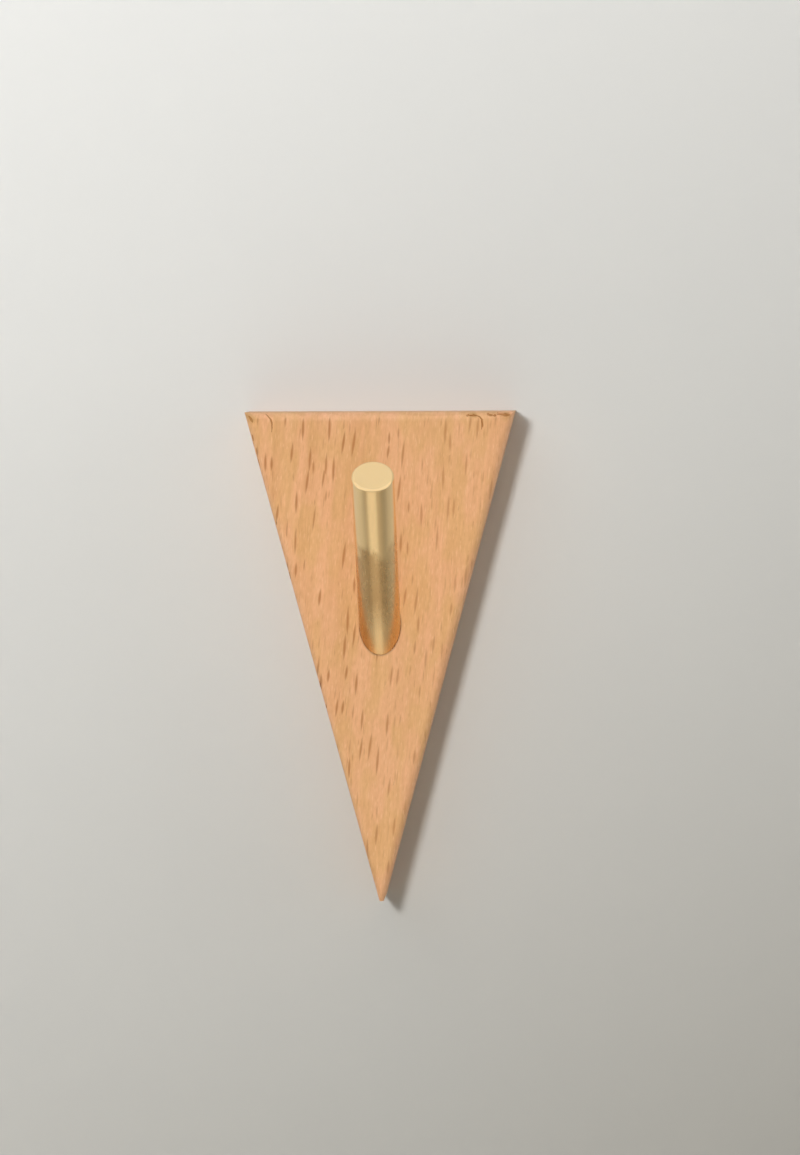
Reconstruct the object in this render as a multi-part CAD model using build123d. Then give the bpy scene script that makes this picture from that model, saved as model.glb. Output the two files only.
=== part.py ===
from build123d import *
from math import cos, radians, sin
import os

# Wall coat hook: a pointed beech plate with one slanting brass peg.
# Millimetres. X runs along the wall, Y into the wall and Z up.
# The origin is the screw's seat at the top of the keyhole, on the back of the plate.

# Plate: a long triangle on its point, grain upright
PLATE_WIDTH = 65.0  # along the top edge, between the sharp corners
PLATE_HEIGHT = 120.0  # from the top edge down to where the two sides would meet
PLATE_THICKNESS = 20.0
FRONT_ROUNDING = 2.6  # along the front outline
BACK_EASING = 0.4  # along the back outline
TIP_CUT = 2.0  # taken off the sharp point

# Peg: plain round rod, rising away from the wall
PEG_DIAMETER = 10.0
PEG_ANGLE = 43.0  # degrees between the rod and the front of the plate
PEG_REACH = 50.0  # along its axis, from the front of the plate to the free end
PEG_DROP = 51.0  # from the top edge down to where its axis meets the front
PEG_END_CHAMFER = 0.4
PEG_SEAT_CHAMFER = 0.5

# Bore for the peg: blind and flat-bottomed
BORE_CLEARANCE = 0.05  # room for glue all round the rod
BORE_FLOOR = 2.5  # wood left between the bore's deepest edge and the wall

# Keyhole in the back: the screw's head goes in at the entry, and the plate drops down onto its seat
SEAT_DROP = 18.0  # from the top edge down to the seat
KEYHOLE_TRAVEL = 12.0  # from the seat down to the entry
ENTRY_DIAMETER = 9.5
NECK_WIDTH = 4.8
LIP = 4.0  # wood that the screw's head bears on
CHANNEL_DEPTH = 5.0  # room for the head behind the lip

top_edge = SEAT_DROP
apex = top_edge - PLATE_HEIGHT
slant = radians(PEG_ANGLE)
bore_radius = PEG_DIAMETER / 2 + BORE_CLEARANCE
seat_depth = (PLATE_THICKNESS - BORE_FLOOR - bore_radius * cos(slant)) / sin(slant)
peg_length = seat_depth + PEG_REACH

# The peg's axis leaves the front of the plate here, upwards and away from the wall
out_of_front = Vector(0, -sin(slant), cos(slant))
on_front = Vector(0, -PLATE_THICKNESS, top_edge - PEG_DROP)
bore_bottom = Plane(on_front - out_of_front * seat_depth, x_dir=(1, 0, 0), z_dir=out_of_front)

with BuildPart() as peg:
    with BuildSketch(bore_bottom):
        Circle(PEG_DIAMETER / 2)
    extrude(amount=peg_length)
    ends = edges().filter_by(GeomType.CIRCLE).sort_by(Axis.Z)
    chamfer(ends[0], PEG_SEAT_CHAMFER)
    chamfer(ends[-1], PEG_END_CHAMFER)

with BuildPart() as plate:
    # Triangle on the back, pulled forward to the full thickness, with its edges rounded over
    with BuildSketch(Plane.XZ):
        with BuildLine():
            Polyline((-PLATE_WIDTH / 2, top_edge), (PLATE_WIDTH / 2, top_edge), (0, apex), close=True)
        make_face()
    extrude(amount=PLATE_THICKNESS)
    fillet(faces().sort_by(Axis.Y)[0].edges(), FRONT_ROUNDING)
    fillet(faces().sort_by(Axis.Y)[-1].edges(), BACK_EASING)

    # The sharp point, cut off level
    split(bisect_by=Plane.XY.offset(apex + TIP_CUT), keep=Keep.TOP)

    # Slanting bore, drilled from the front to its flat bottom
    with BuildSketch(bore_bottom):
        Circle(bore_radius)
    extrude(amount=peg_length, mode=Mode.SUBTRACT)

    # Keyhole: the entry and the neck from the back, then the channel behind the lip
    keyhole_depth = LIP + CHANNEL_DEPTH
    slot_centre = (0, -KEYHOLE_TRAVEL / 2)
    with BuildSketch(Plane.XZ):
        with Locations((0, -KEYHOLE_TRAVEL)):
            Circle(ENTRY_DIAMETER / 2)
        with Locations(slot_centre):
            SlotCenterToCenter(KEYHOLE_TRAVEL, NECK_WIDTH, rotation=90)
    extrude(amount=keyhole_depth, mode=Mode.SUBTRACT)
    with BuildSketch(Plane.XZ.offset(LIP)):
        with Locations(slot_centre):
            SlotCenterToCenter(KEYHOLE_TRAVEL, ENTRY_DIAMETER, rotation=90)
    extrude(amount=CHANNEL_DEPTH, mode=Mode.SUBTRACT)

os.makedirs("parts", exist_ok=True)
export_step(plate.part, "parts/plate.step")
export_step(peg.part, "parts/peg.step")
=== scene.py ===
import math
import random

import bmesh
import bpy
from mathutils import Matrix, Quaternion, Vector


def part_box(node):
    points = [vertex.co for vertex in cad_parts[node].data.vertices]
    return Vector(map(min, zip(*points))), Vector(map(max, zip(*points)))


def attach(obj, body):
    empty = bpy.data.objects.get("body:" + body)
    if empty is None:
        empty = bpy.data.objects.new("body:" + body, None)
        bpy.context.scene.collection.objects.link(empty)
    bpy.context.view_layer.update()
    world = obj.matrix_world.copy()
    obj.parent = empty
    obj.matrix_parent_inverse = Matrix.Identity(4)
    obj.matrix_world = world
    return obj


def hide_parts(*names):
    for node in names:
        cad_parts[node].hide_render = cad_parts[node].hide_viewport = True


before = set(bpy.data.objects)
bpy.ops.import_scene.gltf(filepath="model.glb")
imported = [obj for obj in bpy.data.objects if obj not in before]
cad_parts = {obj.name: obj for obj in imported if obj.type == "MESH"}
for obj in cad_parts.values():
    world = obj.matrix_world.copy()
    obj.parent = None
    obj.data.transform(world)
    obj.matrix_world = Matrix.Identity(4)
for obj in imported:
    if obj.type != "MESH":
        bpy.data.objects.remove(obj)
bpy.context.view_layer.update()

# Wall coat hook: a pointed beech plate with a slanting brass peg, in metres.
# X runs along the wall, Y into the wall and Z up, with the front of the plate towards -Y.

MM = 0.001
plate_low, plate_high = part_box("plate")
TOP = plate_high.z
FRONT = plate_low.y
BACK = plate_high.y
HALF_WIDTH = plate_high.x
PLATE_HEIGHT = 120 * MM  # from the top edge down to where the two sides would meet
ROUNDING = 2.6 * MM  # along the front outline
SIDE_LEAN = math.atan2(HALF_WIDTH, PLATE_HEIGHT)
SHARP_ANGLE = 25  # degrees; sharper folds stay crisp
WELD = 0.001 * MM  # points nearer than this are one

# Camera, at the photograph's viewing angle
CAMERA_AT = Vector((0.05466, -1.2200, 0.03269))
CAMERA_AIM = Vector((0.00489, -0.0200, -0.02178))
CAMERA_ROLL = math.radians(-0.259)
CAMERA_LENS = 155.97
CAMERA_CLIP = (0.01, 50.0)

# Stage: a wall whose paint darkens from the upper left to the lower right as painted shade, with an opening
# behind the plate that lets light reach its back, and a pale floor far below
WALL_GAP = 0.02 * MM
WALL_SIZE = 3.0
WALL_PALE = (0.92, 0.925, 0.91)
WALL_PAINTED_SHADE = (0.36, 0.347, 0.313)
WALL_FALL = Vector((0.50, 0.0, -0.87))
WALL_FALL_FROM = -0.15
WALL_FALL_TO = 0.24
OPENING_INSET = 0.3 * MM
FLOOR_DROP = 0.7
FLOOR_COLOUR = (0.90, 0.84, 0.71)
FLOOR_SEEN = (0.56, 0.51, 0.43)
PAINT_ROUGHNESS = 0.9

# Light: a small lamp for the plate's crisp shadow, a broad one for soft modelling, one along the wall for
# the right side, one below that the peg mirrors as a bright stripe, and one from behind for the back.
# Each lamp: place, size and power.
WORLD_TOP = 0.14
WORLD_BOTTOM = 0.07
BACKGROUND = 1.0
LIT_POINT = Vector((0.0, -0.03, -0.03))
KEY_LAMP = ((-0.28, -1.42, 0.25), 0.16, 11.5)
SOFT_LAMP = ((-0.35, -0.90, 0.95), 1.4, 4.6)
SIDE_LAMP = ((1.2, -0.16, 0.10), 0.8, 2.8)
LOW_LAMP = ((-0.06, -0.08, -0.55), 0.3, 0.10)
BACK_LAMP = ((0.0, 1.2, 0.30), 0.9, 15.0)

# Beech: millimetres and linear colour. Stretches run across, through and along the grain, and a swing is how
# far a noise takes the wood's brightness up and down.
GRAIN_LEAN = math.radians(5)
GRAIN_SWAY = 0.6
SWAY_STRETCH = (0.06, 0.05, 0.02)
PINK_STRETCH = (0.22, 0.12, 0.08)
SHADE_STRETCH = (0.45, 0.25, 0.03)
FIBRE_STRETCH = (4.0, 3.0, 0.45)
STREAK_STRETCH = (1.4, 1.0, 0.10)
MOTTLE_STRETCH = (1.1, 0.8, 0.45)
MIDDLE_NOISE = (0.2, 0.8)  # where most of a noise's values lie
SHADE_SWING = 0.09
FIBRE_SWING = 0.09
STREAK_SWING = 0.07
MOTTLE_SWING = 0.09
FINE_DETAIL = (3.0, 0.6)  # detail and roughness of the fibre and the mottle
PITH = (12.0, 70.0)
RING_WIDTH = 2.8
LATE_WOOD = (0.35, 0.9)  # where a ring starts to darken and is darkest
RING_DEPTH = 0.07
PINK_RANGE = (0.36, 0.64)  # where the wood turns from yellow to pink
YELLOW_BEECH = (0.765, 0.425, 0.190)
PINK_BEECH = (0.815, 0.437, 0.222)
DEEPENING = (0.7, 1.0, 1.5)
FLECK_BROWN = (0.45, 0.172, 0.050)
FLECK_PALE = (0.92, 0.58, 0.33)
TORN_TONE = (0.66, 0.55, 0.40)
# A painted highlight: the rounding along the top edge is made paler, as if lit from above
PAINTED_HIGHLIGHT_TONE = (1.10, 1.12, 1.19)
PAINTED_HIGHLIGHT_FACING = (0.1, 0.5)  # how far up the surface faces where the painted highlight starts, and where it is full
PAINTED_HIGHLIGHT_FADES = 0.9  # how far up it faces where the painted highlight fades again
END_GRAIN = (0.3, 0.6)  # how far up it faces where the flecks start to run out, and where few are left
END_GRAIN_FLECKS = 0.25
WOOD_ROUGHNESS = (0.44, 0.56)
FLECK_POLISH = 0.08
WOOD_SPECULAR = 0.4
WOOD_RELIEF = 0.02 * MM
FLECK_DIP = 0.6
# A dark line round the peg's foot: glue, with painted shade that makes it heaviest at the lower right
GLUE_AND_SHADE_TONE = (0.30, 0.15, 0.065)
GLUE_AND_SHADE_STRENGTH = 0.85
GLUE_AND_SHADE_WIDTH = 0.45
GLUE_AND_SHADE_STRETCH = (0.45, 0.45, 0.45)
GLUE_AND_SHADE_FAINTEST = 0.35  # its strength at the upper left, where the painted shade is least
GLUE_AND_SHADE_SIDE = 6.0  # from the rod's axis to where it is faintest, and to where it is full
GLUE_AND_SHADE_PATCHES = (0.3, 0.6)  # noise where it is thin, and where it is full
GLUE_AND_SHADE_THIN = 0.45

# Ray flecks, three dark and one pale: cell, half size, share of cells that show one, strength, shift of cells
FLECK_SCATTER = 0.85
FLECK_LEAN = 0.12
FLECK_LENGTHS = (0.55, 1.3)  # shortest and longest, as a share of the half length
FLECK_CORE = 0.1  # share of a fleck that is fully dark
FLECK_FADING = 0.5  # share of the shown flecks that are fainter
FLECKS_PALER = (-6.0, 20.0)  # across the front, where large flecks start to pale and stop
FLECKS_PALEST = 0.6
LARGE_FLECKS = ((2.0, 14.0, 9.0), (0.52, 9.0, 3.5), 0.78, 0.82, (0.3, 0.2, 0.7))
MEDIUM_FLECKS = ((1.5, 10.0, 6.0), (0.34, 6.0, 2.2), 0.60, 0.45, (5.1, 3.3, 1.9))
FINE_FLECKS = ((0.7, 5.0, 2.4), (0.18, 3.0, 0.95), 0.85, 0.28, (9.7, 7.1, 4.3))
PALE_FLECKS = ((0.9, 5.0, 3.0), (0.22, 3.0, 1.1), 0.80, 0.45, (2.6, 8.4, 6.1))

# Wear on the plate, in millimetres. Marks near the top edge are placed by how far they lie across the front
# and down from the edge.
WEAR_SEED = 7
CRACK_RADIUS = 0.26
LEFT_CRACK = ((-27.3, 0.45), (-26.7, 0.95), (-26.0, 1.75), (-25.75, 2.55), (-25.7, 3.6), (-25.8, 4.8))
RIGHT_CRACK = ((23.2, 0.9), (24.1, 1.2), (24.75, 1.95), (24.75, 3.0), (24.6, 4.3))

# Each flake: across, down, half height, half width, depth and degrees that it leans
FLAKES = ((-30.9, 1.5, 1.2, 0.4, 0.2, 42), (22.4, 0.95, 0.3, 0.9, 0.3, 0), (24.75, 2.7, 1.1, 0.25, 0.3, 0),
          (27.8, 0.95, 0.4, 0.4, 0.3, 0), (30.3, 0.9, 0.4, 0.8, 0.3, 0))

# Each scuff: a line of small flakes between two places
SCUFFS = (((20.7, 0.7), (23.6, 0.95), 5), ((25.9, 0.35), (27.1, 0.8), 4), ((28.2, 0.4), (31.2, 0.85), 8))

# Each stain round the torn places: across, down and reach
STAINS = ((-31.7, 0.7, 1.3), (-30.8, 1.5, 1.7), (22.6, 0.8, 1.6), (27.6, 0.6, 1.6), (30.2, 0.9, 2.0))
STAIN_TONE = (0.56, 0.30, 0.090)
STAIN_STRENGTH = 0.7
STAIN_STRETCH = (0.9, 0.9, 0.6)
STAIN_DETAIL = 3.0
STAIN_PATCHES = (0.3, 0.7)  # noise where a stain is thin, and where it is full
STAIN_THIN = 0.45
STAIN_CORE = 0.3  # share of a stain's reach at full strength

# Nicked stretches of the left side: side, from and to below the top edge, and number of nicks
NICKS = ((-1, 4.5, 13.0, 4), (-1, 24.0, 78.0, 6))
NICK_TURN = (55, 85)  # degrees round from the front towards the side

# Ranges for marks that are placed by chance: half height, half width and depth, then where they lie and turn
SCUFF_HALVES = ((0.15, 0.4), (0.25, 0.6), (0.1, 0.22))
NICK_HALVES = ((0.5, 1.1), (0.25, 0.5), (0.10, 0.2))
SCUFF_STRAY = (-0.2, 0.25)
SHARE_OF_STEP = (0.1, 0.9)
GOUGE_TURN = (-0.3, 0.3)
GOUGE_LUMPS = (0.82, 1.08)
GOUGE_DIVISIONS = 3
CRACK_SIDES = 6
CRACK_END = 0.3  # width of a crack's ends, as a share of its middle

# Peg: a chamfered rim at each end with its edges rounded. Its finish is in millimetres from the front.
PEG_SEGMENTS = 128
PEG_RIM = 0.4 * MM
PEG_RIM_ROUND = 0.12 * MM
PEG_RIM_STEPS = 3
PEG_RIM_ANGLE = 30  # degrees; sharper edges are rounded
PEG_SHARP_ANGLE = 60  # degrees
BRASS = (0.95, 0.695, 0.365)
# Browner brass nearer the plate, with a blotchy edge; less brown on the right and along a middle strip by the
# foot
BROWNER_BRASS = (0.60, 0.385, 0.175)
BROWNER_REACH = 30.0
BROWNER_EDGE = 2.5  # half the width of its soft edge
BROWNER_WANDER = 22.0
BROWNER_ROUGHNESS = 0.06
BROWNER_RIGHT = (0.5, 4.0, 1.0, 0.6)  # from and to on the right, and its strength at both
BLOTCH_STRETCH = (0.22, 0.22, 0.10)
BLOTCH_EFFECT = (0.3, 0.7, 1.0, 0.85)  # from, to, and the browning's strength at both
BLOTCH_DETAIL = 3.0
PALER_STRIP_REACH = 14.0
PALER_STRIP_STRENGTH = 0.8
PALER_STRIP_HALF = (3.5, 1.0)  # half width of the less brown strip, and of its middle
SPECK_STRETCH = (1.8, 1.8, 0.5)
SPECK_DETAIL = 3.0
DRAWN_STRETCH = (9.0, 9.0, 0.12)
DRAWN_SWING = 0.05
DRAWN_RELIEF = 0.003 * MM
BRASS_ROUGHNESS = (0.19, 0.27)


def add_object(name, data):
    made = bpy.data.objects.new(name, data)
    bpy.context.scene.collection.objects.link(made)
    return made


def mesh_from(name, build):
    """A mesh object made by build(bm)."""
    bm = bmesh.new()
    build(bm)
    bmesh.ops.recalc_face_normals(bm, faces=bm.faces)
    mesh = bpy.data.meshes.new(name)
    bm.to_mesh(mesh)
    bm.free()
    return add_object(name, mesh)


def smooth(piece, sharp_angle):
    """Smooth shading that stays crisp at edges and flat on flats."""
    mesh = piece.data
    mesh.polygons.foreach_set("use_smooth", [True] * len(mesh.polygons))
    mesh.set_sharp_from_angle(angle=math.radians(sharp_angle))
    weighted = piece.modifiers.new("weighted_normals", "WEIGHTED_NORMAL")
    weighted.keep_sharp = True


def cut(piece, cutter):
    """Take the cutter's shape out of a piece; the cut faces keep the cutter's material."""
    difference = piece.modifiers.new("cut", "BOOLEAN")
    difference.operation = "DIFFERENCE"
    difference.solver = "EXACT"
    difference.use_self = True
    difference.material_mode = "TRANSFER"
    difference.object = cutter
    shown = bpy.context.evaluated_depsgraph_get()
    piece.data = bpy.data.meshes.new_from_object(piece.evaluated_get(shown))
    piece.modifiers.clear()
    bpy.data.objects.remove(cutter)


# Places on the plate

def half_width(down):
    """Half the plate's width between its straight sides, at a depth below the top edge."""
    return HALF_WIDTH * (PLATE_HEIGHT - down) / PLATE_HEIGHT


def outward_from(side):
    """The direction in which the left side (-1) or the right side (1) faces."""
    return Vector((side * math.cos(SIDE_LEAN), 0, -math.sin(SIDE_LEAN)))


def on_front(across, down):
    """A point of the front and its normal, with the roundings along the top edge and the sides."""
    edges = [(down, Vector((0, 0, 1)))]
    for side in (-1, 1):
        edges.append(((half_width(down) - side * across) * math.cos(SIDE_LEAN), outward_from(side)))
    inside, outward = min(edges, key=lambda edge: edge[0])
    turn = math.asin(min(1.0, max(0.0, 1 - inside / ROUNDING)))
    normal = outward * math.sin(turn) - Vector((0, math.cos(turn), 0))
    return Vector((across, FRONT + ROUNDING * (1 - math.cos(turn)), TOP - down)), normal


def on_side(side, down, turn):
    """A point of the rounding along one side and its normal, turned from the front towards the side."""
    outward = outward_from(side)
    normal = outward * math.sin(turn) - Vector((0, math.cos(turn), 0))
    edge = Vector((side * half_width(down), FRONT + ROUNDING, TOP - down))
    return edge + (normal - outward) * ROUNDING, normal


# Node trees

def new_material(name):
    made = bpy.data.materials.new(name)
    made.use_nodes = True
    tree = made.node_tree
    return made, tree, tree.nodes["Principled BSDF"]


def feed(tree, socket, value):
    """Link a socket, or set a plain value."""
    if isinstance(value, bpy.types.NodeSocket):
        tree.links.new(value, socket)
    elif value is not None:
        socket.default_value = value


def math_node(tree, operation, a, b=None, c=None):
    made = tree.nodes.new("ShaderNodeMath")
    made.operation = operation
    for socket, value in zip(made.inputs, (a, b, c)):
        feed(tree, socket, value)
    return made.outputs[0]


def times(tree, *values):
    """The product of several values."""
    product = values[0]
    for value in values[1:]:
        product = math_node(tree, "MULTIPLY", product, value)
    return product


def vector_node(tree, operation, a, b=None):
    made = tree.nodes.new("ShaderNodeVectorMath")
    made.operation = operation
    feed(tree, made.inputs[0], a)
    feed(tree, made.inputs[1], b)
    return made.outputs["Value"] if operation in ("DOT_PRODUCT", "LENGTH") else made.outputs["Vector"]


def mix_colour(tree, factor, a, b, blend="MIX"):
    made = tree.nodes.new("ShaderNodeMix")
    made.data_type = "RGBA"
    made.blend_type = blend
    factors, colours = made.inputs[0], [socket for socket in made.inputs if socket.type == "RGBA"]
    feed(tree, factors, factor)
    for socket, value in zip(colours, (a, b)):
        feed(tree, socket, value if isinstance(value, bpy.types.NodeSocket) else (*value, 1))
    return [out for out in made.outputs if out.type == "RGBA"][0]


def noise(tree, vector, stretch, detail=2.0, roughness=0.5):
    made = tree.nodes.new("ShaderNodeTexNoise")
    feed(tree, made.inputs["Vector"], vector_node(tree, "MULTIPLY", vector, stretch))
    made.inputs["Scale"].default_value = 1.0
    made.inputs["Detail"].default_value = detail
    made.inputs["Roughness"].default_value = roughness
    return made.outputs["Fac"]


def span(tree, value, low, high, to_low=0.0, to_high=1.0, kind="SMOOTHSTEP"):
    """A value's run from low to high, as a run from to_low to to_high."""
    made = tree.nodes.new("ShaderNodeMapRange")
    made.interpolation_type = kind
    feed(tree, made.inputs["Value"], value)
    made.inputs["From Min"].default_value = low
    made.inputs["From Max"].default_value = high
    made.inputs["To Min"].default_value = to_low
    made.inputs["To Max"].default_value = to_high
    return made.outputs["Result"]


def swing(tree, value, amount, between=MIDDLE_NOISE):
    """A noise's value as a factor that runs from 1 - amount to 1 + amount."""
    return span(tree, value, *between, 1 - amount, 1 + amount, "LINEAR")


def split(tree, vector):
    made = tree.nodes.new("ShaderNodeSeparateXYZ")
    feed(tree, made.inputs[0], vector)
    return made.outputs


def grey(tree, value, powers=(1.0, 1.0, 1.0)):
    """A value as a colour, with its red, green and blue raised to powers of their own."""
    made = tree.nodes.new("ShaderNodeCombineColor")
    for socket, power in zip(made.inputs, powers):
        feed(tree, socket, math_node(tree, "POWER", value, power))
    return made.outputs["Color"]


def millimetres(tree, turn=(0, 0, 0)):
    """Object coordinates in millimetres, turned by the given angles."""
    coordinates = tree.nodes.new("ShaderNodeTexCoord").outputs["Object"]
    mapping = tree.nodes.new("ShaderNodeMapping")
    feed(tree, mapping.inputs["Vector"], coordinates)
    mapping.inputs["Rotation"].default_value = turn
    mapping.inputs["Scale"].default_value = (1 / MM, 1 / MM, 1 / MM)
    return mapping.outputs["Vector"]


def bump(tree, shader, height, depth):
    made = tree.nodes.new("ShaderNodeBump")
    made.inputs["Distance"].default_value = depth
    feed(tree, made.inputs["Height"], height)
    feed(tree, shader.inputs["Normal"], made.outputs["Normal"])


# Materials

class Rod:
    """Centre, direction, half length and radius of a round rod, read from its vertices."""

    def __init__(self, node):
        points = list({tuple(round(c, 7) for c in v.co): v.co for v in node.data.vertices}.values())
        middle = sum(points, Vector()) / len(points)
        direction = max(points, key=lambda p: p.z) - middle
        for _ in range(40):
            spread = ((p - middle) * (p - middle).dot(direction) for p in points)
            direction = sum(spread, Vector()).normalized()
        heights = [(p - middle).dot(direction) for p in points]
        self.direction = direction
        self.centre = middle + direction * (max(heights) + min(heights)) / 2
        self.half = (max(heights) - min(heights)) / 2
        self.radius = max((p - self.centre).cross(direction).length for p in points)
        self.angle = math.atan2(-direction.y, direction.z)
        self.offset = self.centre.y * math.cos(self.angle) + self.centre.z * math.sin(self.angle)
        self.front = (self.centre + direction * (FRONT - self.centre.y) / direction.y).dot(direction)


PEG = Rod(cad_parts["peg"])


def flecks(tree, grain, cell, half, share, strength, shift):
    """Ray flecks: thin spindles in the grain, one to a cell, of which only a share shows."""
    placed = vector_node(tree, "ADD", vector_node(tree, "DIVIDE", grain, cell), shift)
    cells = tree.nodes.new("ShaderNodeTexVoronoi")
    cells.inputs["Scale"].default_value = 1.0
    cells.inputs["Randomness"].default_value = FLECK_SCATTER
    feed(tree, cells.inputs["Vector"], placed)
    away = vector_node(tree, "SUBTRACT", placed, cells.outputs["Position"])
    across, through, along = split(tree, vector_node(tree, "MULTIPLY", away, cell))
    long_luck, show_luck, lean_luck = split(tree, cells.outputs["Color"])
    width, depth, length = half
    lean = span(tree, lean_luck, 0, 1, -FLECK_LEAN / 2, FLECK_LEAN / 2, "LINEAR")
    across = math_node(tree, "SUBTRACT", across, times(tree, along, lean))
    shortest, longest = FLECK_LENGTHS
    length = span(tree, long_luck, 0, 1, shortest * length, longest * length, "LINEAR")
    along = math_node(tree, "DIVIDE", along, length)
    through = math_node(tree, "DIVIDE", through, depth)
    edge = math_node(tree, "ABSOLUTE", math_node(tree, "DIVIDE", across, width))
    edge = math_node(tree, "MULTIPLY_ADD", along, along, edge)
    edge = math_node(tree, "MULTIPLY_ADD", through, through, edge)
    shown = span(tree, show_luck, 1 - share, 1 - FLECK_FADING * share)
    return times(tree, span(tree, edge, 1.0, FLECK_CORE), shown, strength)


def glue_and_shade_line(tree):
    """How dark the line round the peg's foot is: glue, with painted shade that makes it heaviest at the lower
    right.
    """
    rod = millimetres(tree, turn=(-PEG.angle, 0, 0))
    x, y, _ = split(tree, rod)
    y = math_node(tree, "SUBTRACT", y, PEG.offset / MM)
    away = math_node(tree, "SQRT", math_node(tree, "MULTIPLY_ADD", x, x, times(tree, y, y)))
    uneven = span(tree, noise(tree, rod, GLUE_AND_SHADE_STRETCH), *GLUE_AND_SHADE_PATCHES, GLUE_AND_SHADE_THIN, 1.0)
    # Painted shade: the line is heaviest at the lower right
    painted_shade_side = span(tree, math_node(tree, "SUBTRACT", x, y), -GLUE_AND_SHADE_SIDE, GLUE_AND_SHADE_SIDE, GLUE_AND_SHADE_FAINTEST, 1.0)
    close = span(tree, away, PEG.radius / MM + GLUE_AND_SHADE_WIDTH, PEG.radius / MM)
    depth = math_node(tree, "SUBTRACT", split(tree, millimetres(tree))[1], FRONT / MM)
    on_top = span(tree, depth, 2 * GLUE_AND_SHADE_WIDTH, GLUE_AND_SHADE_WIDTH)
    return times(tree, close, on_top, painted_shade_side, uneven)


def stains(tree, place):
    """How strongly the wood is stained round the torn places by the top edge."""
    uneven = span(tree, noise(tree, place, STAIN_STRETCH, STAIN_DETAIL), *STAIN_PATCHES, STAIN_THIN, 1.0)
    strongest = 0.0
    for across, down, reach in STAINS:
        centre = on_front(across * MM, down * MM)[0] / MM
        away = vector_node(tree, "LENGTH", vector_node(tree, "SUBTRACT", place, centre))
        strongest = math_node(tree, "MAXIMUM", strongest, span(tree, away, reach, STAIN_CORE * reach))
    return times(tree, strongest, uneven)


def beech(name, tone=(1.0, 1.0, 1.0)):
    """Steamed beech with upright grain: soft bands, fine fibre and dark ray flecks, solid right through."""
    made, tree, shader = new_material(name)
    grain = millimetres(tree, turn=(0, -GRAIN_LEAN, 0))
    sway = tree.nodes.new("ShaderNodeCombineXYZ")
    wander = noise(tree, grain, SWAY_STRETCH)
    feed(tree, sway.inputs["X"], span(tree, wander, 0, 1, -GRAIN_SWAY, GRAIN_SWAY, "LINEAR"))
    grain = vector_node(tree, "ADD", grain, sway.outputs["Vector"])
    x, y, _ = split(tree, grain)

    # Bands of pinker and yellower wood, and of lighter and darker wood
    pink = span(tree, noise(tree, grain, PINK_STRETCH), *PINK_RANGE)
    shade = noise(tree, grain, SHADE_STRETCH)

    # Growth rings round a pith well behind the board
    aside = math_node(tree, "SUBTRACT", x, PITH[0])
    behind = math_node(tree, "SUBTRACT", y, PITH[1])
    radius = math_node(tree, "MULTIPLY_ADD", aside, aside, times(tree, behind, behind))
    ring = math_node(tree, "FRACT", math_node(tree, "DIVIDE", math_node(tree, "SQRT", radius), RING_WIDTH))
    ring = times(tree, span(tree, ring, *LATE_WOOD), span(tree, ring, 1.0, LATE_WOOD[1]))

    # Fine fibre, and ray flecks, of which the large ones are paler on the right
    fibre = noise(tree, grain, FIBRE_STRETCH, *FINE_DETAIL)
    streak = noise(tree, grain, STREAK_STRETCH)
    mottle = noise(tree, grain, MOTTLE_STRETCH, *FINE_DETAIL)
    pale = flecks(tree, grain, *PALE_FLECKS)
    paler = span(tree, x, *FLECKS_PALER, 1.0, FLECKS_PALEST)
    dark = times(tree, flecks(tree, grain, *LARGE_FLECKS), paler)
    for layer in (MEDIUM_FLECKS, FINE_FLECKS):
        dark = math_node(tree, "MAXIMUM", dark, flecks(tree, grain, *layer))

    # Where the surface turns up into end grain the flecks run out, and its rounding gets a painted highlight
    # that makes it paler
    facing = split(tree, tree.nodes.new("ShaderNodeTexCoord").outputs["Normal"])
    upward = math_node(tree, "ABSOLUTE", facing[2])
    dark = times(tree, dark, span(tree, upward, *END_GRAIN, 1.0, END_GRAIN_FLECKS))
    painted_highlight = times(tree, span(tree, upward, *PAINTED_HIGHLIGHT_FACING), span(tree, upward, 1.0, PAINTED_HIGHLIGHT_FADES))

    level = times(tree, swing(tree, shade, SHADE_SWING, (0, 1)),
                  swing(tree, fibre, FIBRE_SWING),
                  swing(tree, streak, STREAK_SWING),
                  swing(tree, mottle, MOTTLE_SWING),
                  span(tree, ring, 0, 1, 1.0, 1 - RING_DEPTH, "LINEAR"))
    colour = mix_colour(tree, pink, YELLOW_BEECH, PINK_BEECH)
    colour = mix_colour(tree, 1.0, colour, grey(tree, level, DEEPENING), "MULTIPLY")
    colour = mix_colour(tree, painted_highlight, colour, mix_colour(tree, 1.0, colour, PAINTED_HIGHLIGHT_TONE, "MULTIPLY"))
    colour = mix_colour(tree, pale, colour, FLECK_PALE)
    colour = mix_colour(tree, dark, colour, FLECK_BROWN)
    stained = times(tree, stains(tree, millimetres(tree)), STAIN_STRENGTH)
    colour = mix_colour(tree, stained, colour, STAIN_TONE)
    # The glue line round the peg's foot, with its painted shade
    colour = mix_colour(tree, times(tree, glue_and_shade_line(tree), GLUE_AND_SHADE_STRENGTH), colour, GLUE_AND_SHADE_TONE)
    feed(tree, shader.inputs["Base Color"], mix_colour(tree, 1.0, colour, tone, "MULTIPLY"))

    rough = span(tree, fibre, 0, 1, *WOOD_ROUGHNESS, "LINEAR")
    feed(tree, shader.inputs["Roughness"], math_node(tree, "MULTIPLY_ADD", dark, -FLECK_POLISH, rough))
    shader.inputs["Specular IOR Level"].default_value = WOOD_SPECULAR
    bump(tree, shader, math_node(tree, "MULTIPLY_ADD", dark, -FLECK_DIP, fibre), WOOD_RELIEF)
    return made


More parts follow.
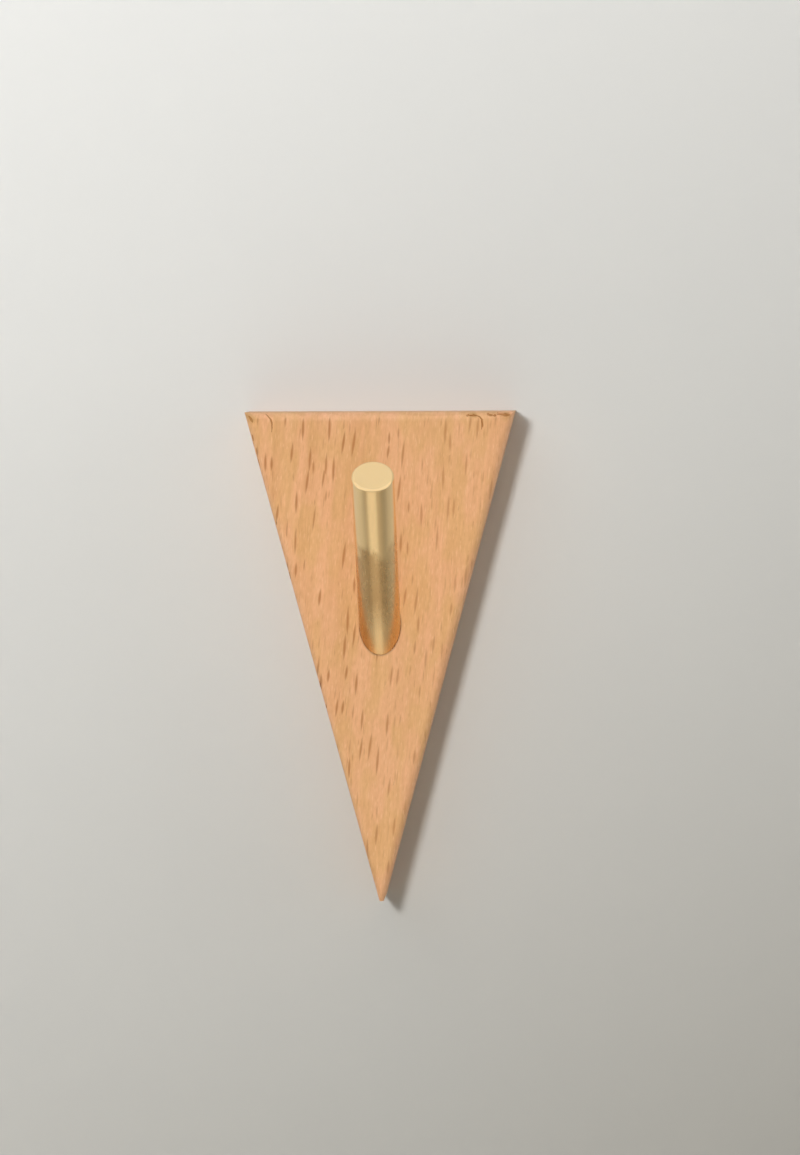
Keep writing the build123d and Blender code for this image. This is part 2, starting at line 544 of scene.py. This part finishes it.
def brass():
    """Drawn brass rod: bright at the free end, browner nearer the plate, with fine lines along it."""
    made, tree, shader = new_material("brass")
    rod = millimetres(tree, turn=(-PEG.angle, 0, 0))
    aside, _, along = split(tree, rod)
    out = math_node(tree, "SUBTRACT", along, PEG.front / MM)
    blotch = noise(tree, rod, BLOTCH_STRETCH, BLOTCH_DETAIL)
    speck = noise(tree, rod, SPECK_STRETCH, SPECK_DETAIL)
    drawn = noise(tree, rod, DRAWN_STRETCH)
    edge = math_node(tree, "MULTIPLY_ADD", math_node(tree, "SUBTRACT", blotch, 0.5), BROWNER_WANDER, out)
    middle = span(tree, math_node(tree, "ABSOLUTE", aside), *PALER_STRIP_HALF)
    paler_strip = times(tree, span(tree, out, PALER_STRIP_REACH, 0.0), middle)
    brown = times(tree, span(tree, edge, BROWNER_REACH + BROWNER_EDGE, BROWNER_REACH - BROWNER_EDGE),
                  math_node(tree, "MULTIPLY_ADD", paler_strip, -PALER_STRIP_STRENGTH, 1.0),
                  span(tree, aside, *BROWNER_RIGHT),
                  span(tree, blotch, *BLOTCH_EFFECT))
    colour = mix_colour(tree, brown, BRASS, BROWNER_BRASS)
    level = swing(tree, drawn, DRAWN_SWING)
    feed(tree, shader.inputs["Base Color"], mix_colour(tree, 1.0, colour, grey(tree, level), "MULTIPLY"))
    shader.inputs["Metallic"].default_value = 1.0
    rough = span(tree, speck, *MIDDLE_NOISE, *BRASS_ROUGHNESS, "LINEAR")
    feed(tree, shader.inputs["Roughness"], math_node(tree, "MULTIPLY_ADD", brown, BROWNER_ROUGHNESS, rough))
    bump(tree, shader, drawn, DRAWN_RELIEF)
    return made


def swap_shader(tree, factor, shader, other):
    """Show the other shader's output where the factor is 1."""
    either = tree.nodes.new("ShaderNodeMixShader")
    feed(tree, either.inputs["Fac"], factor)
    feed(tree, either.inputs[1], shader.outputs["BSDF"])
    feed(tree, either.inputs[2], other)
    feed(tree, tree.nodes["Material Output"].inputs["Surface"], either.outputs["Shader"])


def looked_at(tree):
    """1 for rays from the camera and from mirrors."""
    rays = tree.nodes.new("ShaderNodeLightPath").outputs
    return math_node(tree, "MAXIMUM", rays["Is Camera Ray"], rays["Is Glossy Ray"])


def floor_paint():
    """Matt paint that looks the same pale tone all over."""
    made, tree, shader = new_material("floor")
    shader.inputs["Base Color"].default_value = (*FLOOR_COLOUR, 1)
    shader.inputs["Roughness"].default_value = PAINT_ROUGHNESS
    pale = tree.nodes.new("ShaderNodeEmission")
    pale.inputs["Color"].default_value = (*FLOOR_SEEN, 1)
    swap_shader(tree, looked_at(tree), shader, pale.outputs["Emission"])
    return made


def wall_paint():
    """Matt paint with painted shade that darkens it across the wall, and can't be seen from behind."""
    made, tree, shader = new_material("wall")
    coordinates = tree.nodes.new("ShaderNodeTexCoord").outputs["Object"]
    fall = vector_node(tree, "DOT_PRODUCT", coordinates, WALL_FALL)
    fall = span(tree, fall, WALL_FALL_FROM, WALL_FALL_TO, kind="LINEAR")
    feed(tree, shader.inputs["Base Color"], mix_colour(tree, fall, WALL_PALE, WALL_PAINTED_SHADE))
    shader.inputs["Roughness"].default_value = PAINT_ROUGHNESS
    rays = tree.nodes.new("ShaderNodeLightPath").outputs
    geometry = tree.nodes.new("ShaderNodeNewGeometry")
    from_behind = times(tree, rays["Is Camera Ray"], geometry.outputs["Backfacing"])
    clear = tree.nodes.new("ShaderNodeBsdfTransparent")
    swap_shader(tree, from_behind, shader, clear.outputs["BSDF"])
    return made


# Pieces

def build_peg():
    half, radius = PEG.half, PEG.radius
    place = Matrix.Translation(PEG.centre) @ PEG.direction.to_track_quat("Z", "Y").to_matrix().to_4x4()

    def lathe(bm):
        profile = [(0, -half), (radius - PEG_RIM, -half), (radius, PEG_RIM - half),
                   (radius, half - PEG_RIM), (radius - PEG_RIM, half), (0, half)]
        points = [bm.verts.new((r, 0, z)) for r, z in profile]
        chain = [bm.edges.new(pair) for pair in zip(points, points[1:])]
        bmesh.ops.spin(bm, geom=points + chain, cent=(0, 0, 0), axis=(0, 0, 1),
                       angle=2 * math.pi, steps=PEG_SEGMENTS, use_duplicate=False)
        bmesh.ops.remove_doubles(bm, verts=bm.verts, dist=WELD)
        bmesh.ops.transform(bm, matrix=place, verts=bm.verts)

    peg = mesh_from("peg_rod", lathe)
    rounding = peg.modifiers.new("rims", "BEVEL")
    rounding.limit_method = "ANGLE"
    rounding.angle_limit = math.radians(PEG_RIM_ANGLE)
    rounding.width = PEG_RIM_ROUND
    rounding.segments = PEG_RIM_STEPS
    smooth(peg, PEG_SHARP_ANGLE)
    peg.data.materials.append(brass())
    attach(peg, "root")
    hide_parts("peg")


def gouge(bm, luck, place, normal, half, lean=0.0):
    """One torn-out splinter: a rough lump on the surface, given by half height, half width and depth."""
    made = bmesh.ops.create_icosphere(bm, subdivisions=GOUGE_DIVISIONS, radius=1.0)["verts"]
    for vertex in made:
        vertex.co *= luck.uniform(*GOUGE_LUMPS)
    facing = normal.to_track_quat("Z", "X").to_matrix().to_4x4()
    turn = facing @ Matrix.Rotation(lean + luck.uniform(*GOUGE_TURN), 4, "Z")
    bmesh.ops.transform(bm, matrix=Matrix.Translation(place) @ turn @ Matrix.Diagonal((*half, 1)), verts=made)


def tube(bm, path, radius, sides=CRACK_SIDES):
    """A thin closed tube along a path, narrower towards both ends."""
    rings = []
    last = len(path) - 1
    for k, at in enumerate(path):
        turn = (path[min(k + 1, last)] - path[max(k - 1, 0)]).to_track_quat("Z", "X").to_matrix()
        size = radius * (CRACK_END + (1 - CRACK_END) * math.sin(math.pi * k / last))
        angles = [2 * math.pi * n / sides for n in range(sides)]
        spokes = [Vector((math.cos(a), math.sin(a), 0)) * size for a in angles]
        rings.append([bm.verts.new(at + turn @ spoke) for spoke in spokes])
    for low, high in zip(rings, rings[1:]):
        for n in range(sides):
            bm.faces.new((low[n], low[(n + 1) % sides], high[(n + 1) % sides], high[n]))
    bm.faces.new(reversed(rings[0]))
    bm.faces.new(rings[-1])


def some_size(luck, ranges):
    """Half height, half width and depth of one mark, in metres."""
    return Vector([luck.uniform(*limits) for limits in ranges]) * MM


def wear(bm):
    """What is torn out of the plate: flakes, scuffs and cracks by the top edge, nicks down the left side."""
    luck = random.Random(WEAR_SEED)
    for across, down, height, width, depth, lean in FLAKES:
        place, normal = on_front(across * MM, down * MM)
        gouge(bm, luck, place, normal, Vector((height, width, depth)) * MM, math.radians(lean))
    for start, stop, count in SCUFFS:
        for k in range(count):
            across, down = Vector(start).lerp(Vector(stop), (k + luck.uniform(*SHARE_OF_STEP)) / count)
            place, normal = on_front(across * MM, (down + luck.uniform(*SCUFF_STRAY)) * MM)
            gouge(bm, luck, place, normal, some_size(luck, SCUFF_HALVES))
    for path in (LEFT_CRACK, RIGHT_CRACK):
        tube(bm, [on_front(across * MM, down * MM)[0] for across, down in path], CRACK_RADIUS * MM)
    for side, start, stop, count in NICKS:
        for k in range(count):
            down = start + (stop - start) * (k + luck.uniform(*SHARE_OF_STEP)) / count
            place, normal = on_side(side, down * MM, math.radians(luck.uniform(*NICK_TURN)))
            gouge(bm, luck, place, normal, some_size(luck, NICK_HALVES))


def build_plate():
    def copy(bm):
        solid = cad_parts["plate"].data
        points = [bm.verts.new(v.co) for v in solid.vertices]
        for face in solid.polygons:
            bm.faces.new([points[i] for i in face.vertices])
        bmesh.ops.remove_doubles(bm, verts=bm.verts, dist=WELD)

    plate = mesh_from("plate_board", copy)
    plate.data.materials.append(beech("beech"))
    torn = mesh_from("wear", wear)
    torn.data.materials.append(beech("torn_beech", TORN_TONE))
    cut(plate, torn)
    smooth(plate, SHARP_ANGLE)
    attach(plate, "root")
    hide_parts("plate")
    return plate


# Stage, light and camera

def add_stage(name, build, material):
    made = mesh_from(name, build)
    made.data.materials.append(material)
    return made


def build_stage():
    side = WALL_SIZE / 2
    face = BACK + WALL_GAP
    left, right = (-side, face, -FLOOR_DROP), (side, face, -FLOOR_DROP)
    high, low = OPENING_INSET, TOP - plate_low.z - OPENING_INSET

    def loop(bm, corners):
        points = [bm.verts.new(corner) for corner in corners]
        return [bm.edges.new(pair) for pair in zip(points, points[1:] + points[:1])]

    def inside(way, down):
        across = half_width(down) - OPENING_INSET / math.cos(SIDE_LEAN)
        return (way * across, face, TOP - down)

    def wall_sheet(bm):
        outline = loop(bm, (left, right, (side, face, side), (-side, face, side)))
        opening = loop(bm, (inside(-1, high), inside(1, high), inside(1, low), inside(-1, low)))
        bmesh.ops.triangle_fill(bm, edges=outline + opening, use_beauty=True)

    def floor_sheet(bm):
        near = face - WALL_SIZE
        loop(bm, (left, right, (side, near, -FLOOR_DROP), (-side, near, -FLOOR_DROP)))
        bm.faces.new(bm.verts)

    wall = add_stage("wall", wall_sheet, wall_paint())
    if wall.data.polygons[0].normal.y > 0:
        wall.data.flip_normals()
    add_stage("floor", floor_sheet, floor_paint())


def add_lamp(name, at, size, power):
    data = bpy.data.lights.new(name, "AREA")
    data.size = size
    data.energy = power
    lamp = add_object(name, data)
    lamp.location = at
    lamp.rotation_mode = "QUATERNION"
    lamp.rotation_quaternion = (LIT_POINT - Vector(at)).to_track_quat("-Z", "Y")
    lamp.visible_camera = False
    return lamp


def light(plate):
    world = bpy.data.worlds.new("studio")
    world.use_nodes = True
    tree = world.node_tree
    upward = split(tree, tree.nodes.new("ShaderNodeTexCoord").outputs["Generated"])[2]
    soft = span(tree, upward, -1, 1, WORLD_BOTTOM, WORLD_TOP, "LINEAR")
    more = math_node(tree, "SUBTRACT", BACKGROUND, soft)
    background = tree.nodes["Background"]
    background.inputs["Color"].default_value = (1, 1, 1, 1)
    feed(tree, background.inputs["Strength"], math_node(tree, "MULTIPLY_ADD", more, looked_at(tree), soft))
    bpy.context.scene.world = world
    bpy.context.scene.view_settings.view_transform = "Standard"

    key = add_lamp("key", *KEY_LAMP)
    soft = add_lamp("soft", *SOFT_LAMP)
    side = add_lamp("side", *SIDE_LAMP)
    back = add_lamp("back", *BACK_LAMP)
    for lamp in (key, soft, side, back):
        lamp.visible_glossy = False
    add_lamp("low", *LOW_LAMP)

    # The key's only shadow is the plate's
    only_plate = bpy.data.collections.new("only_plate")
    only_plate.objects.link(plate)
    key.light_linking.blocker_collection = only_plate


def add_camera():
    data = bpy.data.cameras.new("camera")
    data.lens = CAMERA_LENS
    data.clip_start, data.clip_end = CAMERA_CLIP
    camera = add_object("camera", data)
    camera.rotation_mode = "QUATERNION"
    camera.location = CAMERA_AT
    facing = (CAMERA_AIM - CAMERA_AT).to_track_quat("-Z", "Y")
    camera.rotation_quaternion = facing @ Quaternion((0, 0, 1), CAMERA_ROLL)
    bpy.context.scene.camera = camera


plate = build_plate()
build_peg()
build_stage()
light(plate)
add_camera()
